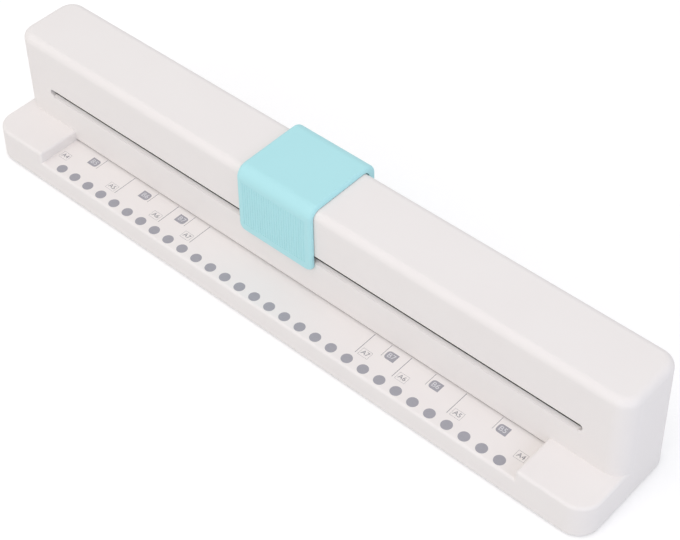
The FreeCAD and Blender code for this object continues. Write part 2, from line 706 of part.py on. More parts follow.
def grip():
    body = new_body("grip")
    outline = new_sketch(body, "YZ_Plane")
    polygon(outline, [("grip_front", "grip_low"), ("grip_front_in", "grip_low"),
                      ("grip_front_in + wall_lean", "grip_roof"), ("grip_rear_in", "grip_roof"),
                      ("grip_rear_in", "grip_low"), ("grip_rear", "grip_low"),
                      ("grip_rear", "grip_top"), ("grip_front + grip_lean", "grip_top")])
    pad(body, outline, "grip_length", symmetric=True)

    def long_edge(bounds, y, z):
        return near(bounds.XLength, "grip_length") and near(bounds.YMin, y) and near(bounds.ZMin, z)
    for y in ("grip_front_in + wall_lean", "grip_rear_in"):
        dress(body, "Fillet", "top_round + grip_gap", lambda bounds: long_edge(bounds, y, "grip_roof"))
    for y in ("grip_front + grip_lean", "grip_rear"):
        dress(body, "Fillet", "grip_bend", lambda bounds: long_edge(bounds, y, "grip_top"))
    dress(body, "Fillet", "grip_corner", lambda bounds: bounds.YLength > size("grip_wall") - 0.01
          and near(bounds.XLength, "0") and near(bounds.ZMax, "grip_low"))

    def rim(bounds):
        outside = (bounds.Center.y < size("grip_front + grip_lean") or near(bounds.YMin, "grip_rear")
                   or near(bounds.ZMax, "grip_top"))
        return outside and near(abs(bounds.XMax), "grip_length / 2") and near(bounds.XLength, "0")
    dress(body, "Fillet", "grip_round", rim)
    ridge = new_sketch(body, "YZ_Plane", "-(ridge_count - 1) * ridge_spacing / 2")
    polygon(ridge, [("ridge_foot - ridge_depth", "ridge_low"), ("ridge_foot + ridge_depth", "ridge_low"),
                    ("ridge_head + ridge_depth", "ridge_high"), ("ridge_head - ridge_depth", "ridge_high")])
    repeat(body, cut(body, ridge, "ridge_width", symmetric=True), "ridge_count", "ridge_spacing")
    for y, depth in (("grip_front_in + wall_lean", "grip_socket + wall_lean"),
                     ("grip_rear_in", "grip_socket")):
        socket = new_sketch(body, "XZ_Plane", y)
        rectangle(socket, "-tongue_length / 2 - hole_play", "slit_middle - sheet_thickness / 2 - hole_play",
                  "tongue_length / 2 + hole_play", "slit_middle + sheet_thickness / 2 + hole_play")
        cut(body, socket, depth, reverse=y != "grip_rear_in")
    place(body, "grip_rest")
    return body


def carriage_side(label, side):
    """A folded steel side: the tongue through the slit, and the plate that holds the axles."""
    body = new_body(label)
    tip = "grip_front_in - tongue_grip" if side == "-" else "grip_rear_in + tongue_grip"
    inner, outer = "pin_row %s side_inner" % (side or "+"), "pin_row %s side_outer" % (side or "+")
    low, fold = "slit_middle - sheet_thickness / 2", "slit_middle + sheet_thickness / 2"
    tongue = new_sketch(body, "YZ_Plane")
    rectangle(tongue, tip, low, outer, fold)
    pad(body, tongue, "tongue_length", symmetric=True)
    plate = new_sketch(body, "YZ_Plane")
    rectangle(plate, outer, low, inner, "side_top")
    pad(body, plate, "side_length", symmetric=True)
    holes = new_sketch(body, "XZ_Plane", "pin_row")
    circle(holes, "0", "roller_axle", "roller_bore")
    for sign in ("-", ""):
        circle(holes, sign + "wheel_place", "wheel_axle", "wheel_bore")
        circle(holes, sign + "spacer_place", "spacer_level", "rivet_diameter")
    cut(body, holes, "4 * side_outer", symmetric=True)
    place(body, "grip_rest")
    return body


def roller(label, diameter, bore, x, level):
    """A steel roller with a bore that runs on its axle."""
    body = new_body(label)
    sketch = new_sketch(body, "XZ_Plane")
    circle(sketch, "0", "0", diameter)
    circle(sketch, "0", "0", "%s + 2 * bearing_play" % bore)
    pad(body, sketch, "roller_width", symmetric=True)
    dress(body, "Chamfer", "tread_chamfer", lambda bounds: near(bounds.XLength, diameter))
    place(body, "grip_rest + %s" % x, "pin_row", level)
    return body


def press_roller_axle():
    body = new_body("press_roller_axle")
    tip = "side_outer + axle_head_thickness"
    revolve(body, "XY_Plane", "V_Axis",
            [("0", "-(%s)" % tip), ("axle_head / 2", "-(%s)" % tip), ("axle_head / 2", "-side_outer"),
             ("roller_bore / 2", "-side_outer"), ("roller_bore / 2", "side_outer"),
             ("axle_head / 2", "side_outer"), ("axle_head / 2", tip), ("0", tip)])
    place(body, "grip_rest", "pin_row", "roller_axle")
    return body


def rail_wheel_axles():
    axles = [rod("wheel_axle", "wheel_bore", "2 * side_outer", "grip_rest %s wheel_place" % sign,
                 "pin_row - side_outer", "wheel_axle", (0, 1, 0)) for sign in "-+"]
    return group("rail_wheel_axles", axles)


def spacer_rivets():
    """Two stepped spacers between the carriage's sides, with their ends riveted flat."""
    made = []
    for sign in "-+":
        x = "grip_rest %s spacer_place" % sign
        sleeve = rod("sleeve", "spacer_diameter", "2 * side_inner", x, "pin_row - side_inner",
                     "spacer_level", (0, 1, 0))
        stem = rod("stem", "rivet_diameter", "2 * side_outer", x, "pin_row - side_outer",
                   "spacer_level", (0, 1, 0))
        made.append(join("spacer", [sleeve, stem]))
    return group("spacer_rivets", made)


PIECES = [
    body_shell(), bottom_plate(), rubber_feet(), bottom_screws(), chip_door(), door_hinge_pins(),
    die_plate(), paper_stop(), guide_channel(), return_springs(), upper_rail(),
    end_bracket("end_bracket_left", "-"), end_bracket("end_bracket_right", ""),
    buffer("buffer_left", "-"), buffer("buffer_right", ""), frame_screws(), rail_screws(),
    grip(), carriage_side("carriage_side_front", "-"), carriage_side("carriage_side_rear", ""),
    roller("press_roller", "roller_diameter", "roller_bore", "0", "roller_axle"), press_roller_axle(),
    roller("rail_wheel_left", "wheel_diameter", "wheel_bore", "-wheel_place", "wheel_axle"),
    roller("rail_wheel_right", "wheel_diameter", "wheel_bore", "wheel_place", "wheel_axle"),
    rail_wheel_axles(), spacer_rivets(),
] + punch_pins()

doc.recompute()
for item in doc.Objects:
    if "Invalid" in item.State or "Error" in item.State:
        raise RuntimeError("%s failed: %s" % (item.Label, item.State))
for piece in PIECES:
    if piece.Shape.isNull() or not piece.Shape.isValid() or not piece.Shape.Solids:
        raise RuntimeError("%s has no valid shape" % piece.Label)
for piece in PIECES:
    piece.Shape.exportStep("parts/%s.step" % piece.Label)
    print(piece.Label, len(piece.Shape.Solids), round(piece.Shape.Volume))
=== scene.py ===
"""The looks of the thirty-hole punch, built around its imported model. Lengths are in millimetres until
they reach Blender; MM turns them to metres."""
import json
import math

import bmesh
import bpy
from mathutils import Matrix, Quaternion, Vector

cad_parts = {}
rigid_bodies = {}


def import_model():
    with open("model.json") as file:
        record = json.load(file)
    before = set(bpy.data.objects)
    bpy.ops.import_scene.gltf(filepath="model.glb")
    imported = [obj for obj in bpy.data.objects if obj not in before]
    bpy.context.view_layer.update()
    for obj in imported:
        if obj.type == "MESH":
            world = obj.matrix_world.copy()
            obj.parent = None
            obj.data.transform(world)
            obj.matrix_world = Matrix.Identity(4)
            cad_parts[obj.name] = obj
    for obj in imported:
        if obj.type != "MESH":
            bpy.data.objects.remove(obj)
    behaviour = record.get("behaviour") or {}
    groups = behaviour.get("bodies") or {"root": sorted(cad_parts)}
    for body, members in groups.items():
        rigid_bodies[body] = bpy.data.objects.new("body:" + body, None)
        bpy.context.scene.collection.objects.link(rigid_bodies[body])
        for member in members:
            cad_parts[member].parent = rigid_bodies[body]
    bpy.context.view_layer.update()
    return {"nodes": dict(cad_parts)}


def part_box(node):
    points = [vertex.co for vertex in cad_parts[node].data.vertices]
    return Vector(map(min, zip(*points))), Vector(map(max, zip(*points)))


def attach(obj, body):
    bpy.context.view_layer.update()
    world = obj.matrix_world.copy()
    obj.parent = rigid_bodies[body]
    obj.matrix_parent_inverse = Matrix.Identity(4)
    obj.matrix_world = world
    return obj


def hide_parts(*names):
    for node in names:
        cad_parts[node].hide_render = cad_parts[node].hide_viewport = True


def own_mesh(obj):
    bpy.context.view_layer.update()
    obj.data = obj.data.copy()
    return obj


for leftover in list(bpy.data.objects):
    bpy.data.objects.remove(leftover)

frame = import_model()
NODES = frame["nodes"]
MM = 0.001

Y = 1
Z = 2


def low(node, axis):
    """The lowest place of a node of the model along an axis, in millimetres."""
    return round(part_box(node)[0][axis] / MM, 3)


def high(node, axis):
    """The highest place of a node of the model along an axis, in millimetres."""
    return round(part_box(node)[1][axis] / MM, 3)


# Places that the looks share with the model
PIN_COUNT = 30
PIN_SPACING = 9.5
PIN_ROW = (low("return_springs", Y) + high("return_springs", Y)) / 2
SPRING_SEAT = low("return_springs", Z)
COLLAR_UNDER = high("return_springs", Z)
FLOOR_LEVEL = high("die_plate", Z)
DOOR_FRONT = low("chip_door", Y)
DOOR_UNDER = low("chip_door", Z)
WALL_FRONT = -9.2
PIN_PLACES = [(i - (PIN_COUNT - 1) / 2) * PIN_SPACING for i in range(PIN_COUNT)]
FEET = [(x, y) for x in (-165.1, 165.1) for y in (-21.8, 17.1)]
BOTTOM_SCREWS = [(x, y) for x in (-120.1, 0.0, 120.1) for y in (-24.3, 23.3)]
CHANNEL_SCREWS = [(x, PIN_ROW + y) for x in (-163.5, 163.5) for y in (-6.0, 4.0)]
BRACKET_SCREWS = [(x, PIN_ROW + y) for x in (-177.95, 177.95) for y in (-3.4, 3.4)]
RAIL_SCREWS = [(-177.95, PIN_ROW), (177.95, PIN_ROW)]


# The camera

CAMERA_STAND = Vector((367.62, -371.75, 554.41))
CAMERA_AIM = Vector((24.87, -2.0, 30.0))
CAMERA_LEAN = math.radians(-1.399)
LENS = 85.19
SENSOR_WIDTH = 36.0
NEAR_LIMIT = 0.05
FAR_LIMIT = 20.0


def make_camera():
    """The photo's view, from above the right front corner, with a long lens."""
    data = bpy.data.cameras.new("camera")
    data.sensor_width = SENSOR_WIDTH
    data.lens = LENS
    data.clip_start = NEAR_LIMIT
    data.clip_end = FAR_LIMIT
    camera = bpy.data.objects.new("camera", data)
    bpy.context.scene.collection.objects.link(camera)
    stand = CAMERA_STAND * MM
    aim = CAMERA_AIM * MM
    lean = Quaternion((0, 0, 1), CAMERA_LEAN)
    camera.rotation_mode = "QUATERNION"
    camera.rotation_quaternion = (aim - stand).to_track_quat("-Z", "Y") @ lean
    camera.location = stand
    bpy.context.scene.camera = camera


make_camera()


# Materials

COLOUR_DRIFT = 35.0
INK_COVER = 1.2
RUBBER_DUST = 4.0
RUBBER_GRAIN = 0.25
RUBBER_RELIEF = 0.03
PLASTIC_GLOSS_SPREAD = 0.05
STEEL_GLOSS_SPREAD = 0.08


def linear(hex_colour):
    """The linear colour of an sRGB hex value."""
    parts = [int(hex_colour[i:i + 2], 16) / 255 for i in (1, 3, 5)]
    return [p / 12.92 if p <= 0.04045 else ((p + 0.055) / 1.055) ** 2.4 for p in parts] + [1.0]


def add(tree, kind, settings, links):
    """A node with its own properties, its socket values and what is linked into it."""
    item = tree.nodes.new(kind)
    for name, value in settings.items():
        if isinstance(name, str) and hasattr(item, name):
            setattr(item, name, value)
        else:
            item.inputs[name].default_value = value
    for name, source in links.items():
        tree.links.new(source, item.inputs[name])
    return item


def new_material(name, hex_colour):
    """An empty node material, with its viewport colour; its output node waits for a shader."""
    material = bpy.data.materials.new(name)
    material.use_nodes = True
    material.diffuse_color = linear(hex_colour)
    material.node_tree.nodes.clear()
    return material, material.node_tree


def moulded_plastic(name, colour, shade, roughness, grain, depth):
    """An opaque injection moulding: two near colours that drift over centimetres, and the fine grain that
    the spark-eroded mould leaves, with its size and depth in millimetres."""
    material, tree = new_material(name, colour)
    spot = add(tree, "ShaderNodeTexCoord", {}, {}).outputs["Object"]
    drift = add(tree, "ShaderNodeTexNoise", {"Scale": 1 / (COLOUR_DRIFT * MM), "Detail": 2.0},
                {"Vector": spot})
    tint = add(tree, "ShaderNodeMix", {"data_type": "RGBA", 6: linear(colour), 7: linear(shade)},
               {0: drift.outputs[0]})
    texture = add(tree, "ShaderNodeTexNoise", {"Scale": 1 / (grain * MM), "Detail": 3.0}, {"Vector": spot})
    gloss = add(tree, "ShaderNodeMapRange", {"To Min": roughness - PLASTIC_GLOSS_SPREAD,
                                             "To Max": roughness + PLASTIC_GLOSS_SPREAD},
                {"Value": texture.outputs[0]})
    relief = add(tree, "ShaderNodeBump", {"Strength": 0.5, "Distance": depth * MM},
                 {"Height": texture.outputs[0]})
    shader = add(tree, "ShaderNodeBsdfPrincipled", {"IOR": 1.54},
                 {"Base Color": tint.outputs[2], "Roughness": gloss.outputs[0], "Normal": relief.outputs[0]})
    add(tree, "ShaderNodeOutputMaterial", {}, {"Surface": shader.outputs[0]})
    return material


def worked_steel(name, colour, shade, roughness, lines, depth):
    """Bare or plated steel with fine tool marks. Lines gives how many marks there are per millimetre along
    X, Y and Z: few along the direction that the tool ran, many across it."""
    material, tree = new_material(name, colour)
    spot = add(tree, "ShaderNodeTexCoord", {}, {}).outputs["Object"]
    stretch = add(tree, "ShaderNodeMapping", {"Scale": [n / MM for n in lines]}, {"Vector": spot})
    marks = add(tree, "ShaderNodeTexNoise", {"Scale": 1.0, "Detail": 3.0}, {"Vector": stretch.outputs[0]})
    tint = add(tree, "ShaderNodeMix", {"data_type": "RGBA", 6: linear(colour), 7: linear(shade)},
               {0: marks.outputs[0]})
    gloss = add(tree, "ShaderNodeMapRange", {"To Min": roughness - STEEL_GLOSS_SPREAD,
                                             "To Max": roughness + STEEL_GLOSS_SPREAD},
                {"Value": marks.outputs[0]})
    relief = add(tree, "ShaderNodeBump", {"Strength": 0.4, "Distance": depth * MM},
                 {"Height": marks.outputs[0]})
    shader = add(tree, "ShaderNodeBsdfPrincipled", {"Metallic": 1.0},
                 {"Base Color": tint.outputs[2], "Roughness": gloss.outputs[0], "Normal": relief.outputs[0]})
    add(tree, "ShaderNodeOutputMaterial", {}, {"Surface": shader.outputs[0]})
    return material


def printed_ink(name, colour, shade):
    """Pad-printed ink on plastic: a thin matte film whose cover varies a little from spot to spot."""
    material, tree = new_material(name, colour)
    spot = add(tree, "ShaderNodeTexCoord", {}, {}).outputs["Object"]
    cover = add(tree, "ShaderNodeTexNoise", {"Scale": 1 / (INK_COVER * MM), "Detail": 4.0}, {"Vector": spot})
    tint = add(tree, "ShaderNodeMix", {"data_type": "RGBA", 6: linear(colour), 7: linear(shade)},
               {0: cover.outputs[0]})
    shader = add(tree, "ShaderNodeBsdfPrincipled", {"IOR": 1.5, "Roughness": 0.6},
                 {"Base Color": tint.outputs[2]})
    add(tree, "ShaderNodeOutputMaterial", {}, {"Surface": shader.outputs[0]})
    return material


def moulded_rubber(name, colour, shade):
    """Black nitrile rubber from a press mould: dull, with a fine even grain and a trace of dust."""
    material, tree = new_material(name, colour)
    spot = add(tree, "ShaderNodeTexCoord", {}, {}).outputs["Object"]
    dust = add(tree, "ShaderNodeTexNoise", {"Scale": 1 / (RUBBER_DUST * MM), "Detail": 5.0},
               {"Vector": spot})
    tint = add(tree, "ShaderNodeMix", {"data_type": "RGBA", 6: linear(colour), 7: linear(shade)},
               {0: dust.outputs[0]})
    grain = add(tree, "ShaderNodeTexNoise", {"Scale": 1 / (RUBBER_GRAIN * MM), "Detail": 2.0},
                {"Vector": spot})
    relief = add(tree, "ShaderNodeBump", {"Strength": 0.6, "Distance": RUBBER_RELIEF * MM},
                 {"Height": grain.outputs[0]})
    shader = add(tree, "ShaderNodeBsdfPrincipled", {"IOR": 1.52, "Roughness": 0.82},
                 {"Base Color": tint.outputs[2], "Normal": relief.outputs[0]})
    add(tree, "ShaderNodeOutputMaterial", {}, {"Surface": shader.outputs[0]})
    return material


# Warm off-white ABS, injection moulded in a finely eroded mould: a soft sheen with no clear reflection.
SHELL_ABS = moulded_plastic("off_white_moulded_abs", "#EBE8E6", "#E8E4E2", 0.58, 0.22, 0.012)
# The same ABS from a coarser mould, as undersides have: a deeper grain, and a little greyer.
PLATE_ABS = moulded_plastic("off_white_coarse_abs", "#E2DFDC", "#DDD9D6", 0.58, 0.45, 0.03)
# Turquoise ABS of the grip, from a smoother mould: the sheen is a little tighter than the shell's.
GRIP_ABS = moulded_plastic("turquoise_moulded_abs", "#AFE3E8", "#ABE0E5", 0.5, 0.2, 0.01)
# Cool grey pad-printing ink of the dots and tags: a matte film.
GREY_INK = printed_ink("grey_printed_ink", "#9A9AA2", "#A3A3AA")
# Darker grey ink of the fine lines, the outlined boxes and their letters.
LINE_INK = printed_ink("fine_line_ink", "#85858A", "#8E8E94")
# Pale letters on the tags, where the real print leaves the plastic bare.
PALE_INK = printed_ink("pale_letter_ink", "#D9D9DD", "#CFCFD4")
# Cold-rolled sheet with yellow passivated zinc: fine lines along the strip's length, X.
SHEET_ZINC = worked_steel("zinc_plated_sheet", "#C9C0A6", "#B8AE92", 0.38, (0.02, 6, 6), 0.004)
# Ground and turned pin steel: rings round the pin, stacked along Z.
PIN_STEEL = worked_steel("ground_pin_steel", "#C6C7C9", "#AEB0B3", 0.24, (0.1, 0.1, 9), 0.003)
# Turned rollers and axles: rings round the axle, stacked along Y.
ROLLER_STEEL = worked_steel("turned_roller_steel", "#BFC0C2", "#A7A9AC", 0.28, (0.1, 8, 0.1), 0.004)
# Drawn spring wire, oiled: darker, with streaks.
SPRING_WIRE = worked_steel("drawn_spring_wire", "#8E9094", "#77797D", 0.34, (3, 3, 1), 0.003)
# Zinc-plated cross-head screws: bright and slightly uneven.
SCREW_ZINC = worked_steel("zinc_plated_screw", "#C3C5C8", "#A9ABAF", 0.32, (4, 4, 4), 0.004)
# Black rubber of the feet and buffers.
RUBBER = moulded_rubber("black_moulded_rubber", "#2A2A2C", "#343436")


# Making pieces

def new_piece(bm, name, material, body="root", smooth_below=30.0):
    """A finished piece from a closed mesh: soft shading below an angle of its edges, riding on a body."""
    for face in bm.faces:
        face.smooth = True
    for edge in bm.edges:
        edge.smooth = len(edge.link_faces) == 2 and edge.calc_face_angle(0.0) < math.radians(smooth_below)
    mesh = bpy.data.meshes.new(name)
    bm.to_mesh(mesh)
    bm.free()
    mesh.materials.append(material)
    piece = bpy.data.objects.new(name, mesh)
    bpy.context.scene.collection.objects.link(piece)
    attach(piece, body)
    return piece


def millimetres(bm):
    """The mesh was drawn in millimetres and is turned to metres."""
    bmesh.ops.scale(bm, vec=(MM, MM, MM), verts=bm.verts)


def turn_profile(bm, profile, steps):
    """A profile turned round the Z axis, from pairs of radius and height. It closes where it ends on the
    axis, and stays open where it starts or ends off it."""
    corners = [bm.verts.new((radius, 0, height)) for radius, height in profile]
    edges = [bm.edges.new(pair) for pair in zip(corners, corners[1:])]
    bmesh.ops.spin(bm, geom=corners + edges, cent=(0, 0, 0), axis=(0, 0, 1), angle=math.tau, steps=steps,
                   use_merge=True)
    bmesh.ops.remove_doubles(bm, verts=bm.verts[:], dist=0.001)
    bmesh.ops.recalc_face_normals(bm, faces=bm.faces)


def repeat_at(bm, places):
    """Copies of the whole mesh at several places, in place of the one at the origin."""
    first = bm.verts[:] + bm.edges[:] + bm.faces[:]
    for place in places[1:]:
        copy = bmesh.ops.duplicate(bm, geom=first)["geom"]
        verts = [item for item in copy if isinstance(item, bmesh.types.BMVert)]
        bmesh.ops.translate(bm, vec=place, verts=verts)
    verts = [item for item in first if isinstance(item, bmesh.types.BMVert)]
    bmesh.ops.translate(bm, vec=places[0], verts=verts)


# The print on the recess floor

PRINT_FILM = 0.03
PRINT_SUNK = 0.02
DOTS_LEVEL = WALL_FRONT - 19.35
DOT_RADIUS = 2.75

# Each size stands at half the long edge of its paper, with a line from the wall forwards
A_SIZES = (("A5", 105.0), ("A6", 74.0), ("A7", 52.5))
B_SIZES = (("B5", 125.0), ("B6", 88.0), ("B7", 62.5))
LINES_BACK = WALL_FRONT - 0.25
A_REACH = WALL_FRONT - 14.15
B_REACH = WALL_FRONT - 8.15
A_LINE_WIDTH = 0.28
B_LINE_WIDTH = 0.2

# The outlined boxes of the A sizes. Those of A4 stand inside the recess's ends
BOX_LEVEL = WALL_FRONT - 11.85
BOX_WIDTH = 5.5
BOX_HEIGHT = 4.4
BOX_LINE = 0.14
BOX_LETTERS = 2.4
BOX_FROM_LINE = 4.1
A4_BOXES = (-143.7, 143.4)

# The filled tags of the B sizes
TAG_LEVEL = WALL_FRONT - 5.65
TAG_WIDTH = 5.8
TAG_HEIGHT = 5.0
TAG_ROUND = 1.7
TAG_LETTERS = 2.7
TAG_FROM_LINE = 1.1 + TAG_WIDTH / 2

# The height of a capital letter as a share of the letters' size
CAPITAL_SHARE = 0.69


def flat_patch(bm, x, y, width, height):
    """A flat rectangle by its centre."""
    place = Matrix.Translation((x, y, 0)) @ Matrix.Diagonal((width, height, 1, 1))
    made = bmesh.ops.create_grid(bm, x_segments=1, y_segments=1, size=0.5, matrix=place)
    return made["verts"]


def into_film(bm, level):
    """The flat outlines become a film of ink on a level."""
    bmesh.ops.solidify(bm, geom=bm.faces[:], thickness=-(PRINT_FILM + PRINT_SUNK))
    lowest = min(vert.co.z for vert in bm.verts)
    bmesh.ops.translate(bm, vec=(0, 0, level - PRINT_SUNK - lowest), verts=bm.verts)
    bmesh.ops.recalc_face_normals(bm, faces=bm.faces)
    millimetres(bm)


def write_letters(bm, words, height):
    """Words with the middle of each at its place, as flat letters of a plain face."""
    for word, x, y in words:
        curve = bpy.data.curves.new("letters", "FONT")
        curve.body = word
        curve.align_x = "CENTER"
        curve.align_y = "CENTER"
        curve.size = height / CAPITAL_SHARE
        curve.resolution_u = 4
        carrier = bpy.data.objects.new("letters", curve)
        flat = bpy.data.meshes.new_from_object(carrier)
        flat.transform(Matrix.Translation((x, y, 0)))
        bm.from_mesh(flat)
        bpy.data.objects.remove(carrier)
        bpy.data.meshes.remove(flat)
        bpy.data.curves.remove(curve)
    bmesh.ops.remove_doubles(bm, verts=bm.verts, dist=0.0005)


def hole_dots():
    """Thirty printed dots that show where the holes come, at the loose-leaf spacing."""
    bm = bmesh.new()
    for x in PIN_PLACES:
        bmesh.ops.create_circle(bm, cap_ends=True, segments=40, radius=DOT_RADIUS,
                                matrix=Matrix.Translation((x, DOTS_LEVEL, 0)))
    into_film(bm, FLOOR_LEVEL)
    return new_piece(bm, "hole_dots", GREY_INK)


def size_lines():
    """The long lines of the A sizes and the short ones of the B sizes, from the wall forwards."""
    bm = bmesh.new()
    for reach, sizes, width in ((A_REACH, A_SIZES, A_LINE_WIDTH), (B_REACH, B_SIZES, B_LINE_WIDTH)):
        for _, half in sizes:
            for x in (-half, half):
                flat_patch(bm, x, (LINES_BACK + reach) / 2, width, LINES_BACK - reach)
    into_film(bm, FLOOR_LEVEL)
    return new_piece(bm, "size_lines", LINE_INK)


def beside_lines(sizes, distance):
    """The name and place of each mark that stands outside its line, to the left and to the right."""
    return [(name, side * (half + distance)) for name, half in sizes for side in (-1, 1)]


def size_boxes():
    """Thin outlined boxes with their letters."""
    places = beside_lines(A_SIZES, BOX_FROM_LINE) + [("A4", x) for x in A4_BOXES]
    bm = bmesh.new()
    for _, x in places:
        flat_patch(bm, x, BOX_LEVEL, BOX_WIDTH, BOX_HEIGHT)
    rings = bmesh.ops.inset_individual(bm, faces=bm.faces[:], thickness=BOX_LINE)
    inner = [face for face in bm.faces if face not in rings["faces"]]
    bmesh.ops.delete(bm, geom=inner, context="FACES_ONLY")
    write_letters(bm, [(name, x, BOX_LEVEL) for name, x in places], BOX_LETTERS)
    into_film(bm, FLOOR_LEVEL)
    return new_piece(bm, "size_boxes", LINE_INK)


def size_tags():
    """Filled tags of the B sizes, round on the side of their line."""
    bm = bmesh.new()
    for _, x in beside_lines(B_SIZES, TAG_FROM_LINE):
        verts = flat_patch(bm, x, TAG_LEVEL, TAG_WIDTH, TAG_HEIGHT)
        near_line = [vert for vert in verts if abs(vert.co.x) < abs(x)]
        bmesh.ops.bevel(bm, geom=near_line, offset=TAG_ROUND, offset_type="OFFSET", affect="VERTICES",
                        segments=6, profile=0.5, material=-1)
    into_film(bm, FLOOR_LEVEL)
    return new_piece(bm, "size_tags", GREY_INK)


def tag_letters():
    """Pale letters on the filled tags."""
    bm = bmesh.new()
    words = [(name, x, TAG_LEVEL) for name, x in beside_lines(B_SIZES, TAG_FROM_LINE)]
    write_letters(bm, words, TAG_LETTERS)
    into_film(bm, FLOOR_LEVEL + PRINT_FILM)
    return new_piece(bm, "tag_letters", PALE_INK)


for printed in (hole_dots(), size_lines(), size_boxes(), size_tags(), tag_letters()):
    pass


# The return springs

WIRE = 0.8
COIL_RADIUS = 3.6
COIL_TURNS = 3
STEPS_PER_TURN = 20


def spring_coil(number, x):
    """A coil spring with a closed turn at each end, between the channel and the pin's collar."""
    bm = bmesh.new()
    start = Matrix.Translation((COIL_RADIUS, 0, WIRE / 2)) @ Matrix.Rotation(math.pi / 2, 4, "X")
    bmesh.ops.create_circle(bm, cap_ends=True, segments=8, radius=WIRE / 2, matrix=start)
    rim = bm.edges[:]
    free = COLLAR_UNDER - SPRING_SEAT - 3 * WIRE
    for turns, rise in ((1, WIRE), (COIL_TURNS, free), (1, WIRE)):
        steps = turns * STEPS_PER_TURN
        swept = bmesh.ops.spin(bm, geom=rim, cent=(0, 0, 0), axis=(0, 0, 1), angle=turns * math.tau,
                               steps=steps, dvec=(0, 0, rise / steps))
        rim = [item for item in swept["geom_last"] if isinstance(item, bmesh.types.BMEdge)]
    bmesh.ops.contextual_create(bm, geom=rim)
    bmesh.ops.recalc_face_normals(bm, faces=bm.faces)
    bmesh.ops.translate(bm, vec=(x, PIN_ROW, SPRING_SEAT), verts=bm.verts)
    millimetres(bm)
    piece = new_piece(bm, "return_coil_%02d" % number, SPRING_WIRE, smooth_below=60.0)
    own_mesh(piece)
    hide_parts("return_springs")


for index, pin_x in enumerate(PIN_PLACES, start=1):
    spring_coil(index, pin_x)


# Screws, feet and the door's finger grip

HEAD_RADIUS = 2.75
THREAD_CORE = 1.15
THREAD_CREST = 1.5
THREAD_PITCH = 0.5
THREAD_STEPS = 14

# Kinds of screws: the level of the heads' flats, the heads' thickness and the level of the tips
BOTTOM_KIND = (low("bottom_screws", Z), 1.5, high("bottom_screws", Z))
CHANNEL_KIND = (low("frame_screws", Z), 2.0, high("frame_screws", Z))
BRACKET_KIND = (low("frame_screws", Z), 2.0, 14.5)
RAIL_KIND = (low("rail_screws", Z), 2.0, high("rail_screws", Z))

FOOT_RADIUS = 6.0
FOOT_HEIGHT = high("rubber_feet", Z)
FOOT_HOLLOW = 0.4

RIB_COUNT = 5
RIB_SPACING = 0.9
FIRST_RIB = DOOR_FRONT + 1.1
RIB_LEVEL = DOOR_UNDER - 0.15
RIB_LENGTH = 18.0
RIB_WIDTH = 0.45
RIB_HEIGHT = 0.5
RIB_BEVEL = 0.12


def cross_recess(bm, rim, radius):
    """The flat of a screw head between its rim and a cross recess, and the recess with sloping walls."""
    arm = 0.62 * radius
    half = 0.14 * radius
    depth = 0.4 * radius
    taper = 0.75
    quarter = [(arm, -half), (arm, half), (half, half)]
    points = []
    for turn in range(4):
        around = Matrix.Rotation(turn * math.pi / 2, 3, "Z")
        points += [around @ Vector((x, y, 0)) for x, y in quarter]
    corners = [bm.verts.new(point) for point in points]
    edges = [bm.edges.new((corners[i - 1], corners[i])) for i in range(len(corners))]
    bmesh.ops.triangle_fill(bm, use_beauty=True, edges=rim + edges)
    walls = bmesh.ops.extrude_edge_only(bm, edges=edges)["geom"]
    inner = [item for item in walls if isinstance(item, bmesh.types.BMVert)]
    bmesh.ops.scale(bm, vec=(taper, taper, 1), verts=inner)
    bmesh.ops.translate(bm, vec=(0, 0, depth), verts=inner)
    bottom = [item for item in walls if isinstance(item, bmesh.types.BMEdge)]
    bmesh.ops.contextual_create(bm, geom=bottom)


def screw(bm, thickness, top):
    """A pan-head screw that points up from its head's flat at the origin, with a rolled thread."""
    turn_profile(bm, [(HEAD_RADIUS - 0.7, 0), (HEAD_RADIUS - 0.2, 0.25), (HEAD_RADIUS, 0.8),
                      (HEAD_RADIUS, thickness), (THREAD_CORE, thickness), (THREAD_CORE, top - 0.9),
                      (0.5, top), (0, top)], 32)
    edge_of_flat = [edge for edge in bm.edges if edge.is_boundary]
    cross_recess(bm, edge_of_flat, HEAD_RADIUS)
    turns = int((top - thickness - 1.2) / THREAD_PITCH)
    points = [(THREAD_CORE, -0.2), (THREAD_CREST, 0.0), (THREAD_CORE, 0.2)]
    corners = [bm.verts.new((radius, 0, thickness + THREAD_PITCH + height)) for radius, height in points]
    ridge = [bm.edges.new((corners[i - 1], corners[i])) for i in range(3)]
    bmesh.ops.contextual_create(bm, geom=ridge)
    steps = turns * THREAD_STEPS
    swept = bmesh.ops.spin(bm, geom=ridge, cent=(0, 0, 0), axis=(0, 0, 1), angle=turns * math.tau,
                           steps=steps, dvec=(0, 0, turns * THREAD_PITCH / steps))
    end = [item for item in swept["geom_last"] if isinstance(item, bmesh.types.BMEdge)]
    bmesh.ops.contextual_create(bm, geom=end)
    bmesh.ops.recalc_face_normals(bm, faces=bm.faces)


def screw_set(name, node, kinds):
    """All the screws of one node, from pairs of a kind and its places."""
    whole = bmesh.new()
    for (level, thickness, tip), places in kinds:
        bm = bmesh.new()
        screw(bm, thickness, tip - level)
        repeat_at(bm, [(x, y, level) for x, y in places])
        mesh = bpy.data.meshes.new("kind")
        bm.to_mesh(mesh)
        bm.free()
        whole.from_mesh(mesh)
        bpy.data.meshes.remove(mesh)
    millimetres(whole)
    piece = new_piece(whole, name, SCREW_ZINC)
    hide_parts(node)


